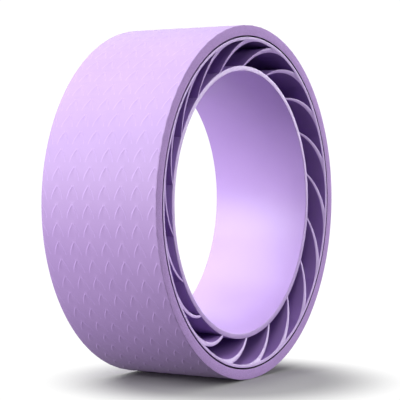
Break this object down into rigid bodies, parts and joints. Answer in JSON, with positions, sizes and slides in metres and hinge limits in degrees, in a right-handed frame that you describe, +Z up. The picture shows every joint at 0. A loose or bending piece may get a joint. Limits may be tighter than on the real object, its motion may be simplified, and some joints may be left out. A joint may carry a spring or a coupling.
{
  "type": "yoga wheel",
  "caption": "Yoga wheel: a foam-covered hoop tied by swept vanes to a narrower inner hoop round an open centre, for back stretches and balance.",
  "frame": {"origin": "centre of the wheel, on its axle line at mid width", "axes": "+Y along the axle line, +Z up with the wheel standing on its tread, +X along its rolling direction"},
  "size_m": [0.33, 0.121, 0.33],
  "materials": {
    "foam": "matte closed-cell foam, embossed on the tread",
    "adhesive": "dull double-sided film",
    "hoop_plastic": "satin moulded",
    "vane_plastic": "satin moulded"
  },
  "bodies": {
    "root": {"tread_mat": "foam", "mat_adhesive": "adhesive", "outer_hoop": "hoop_plastic", "inner_hoop": "hoop_plastic", "vane_01": "vane_plastic", "vane_02": "vane_plastic", "vane_03": "vane_plastic", "vane_04": "vane_plastic", "vane_05": "vane_plastic", "vane_06": "vane_plastic", "vane_07": "vane_plastic", "vane_08": "vane_plastic", "vane_09": "vane_plastic", "vane_10": "vane_plastic", "vane_11": "vane_plastic", "vane_12": "vane_plastic", "vane_13": "vane_plastic", "vane_14": "vane_plastic", "vane_15": "vane_plastic", "vane_16": "vane_plastic", "vane_17": "vane_plastic", "vane_18": "vane_plastic"}
  },
  "joints": []
}
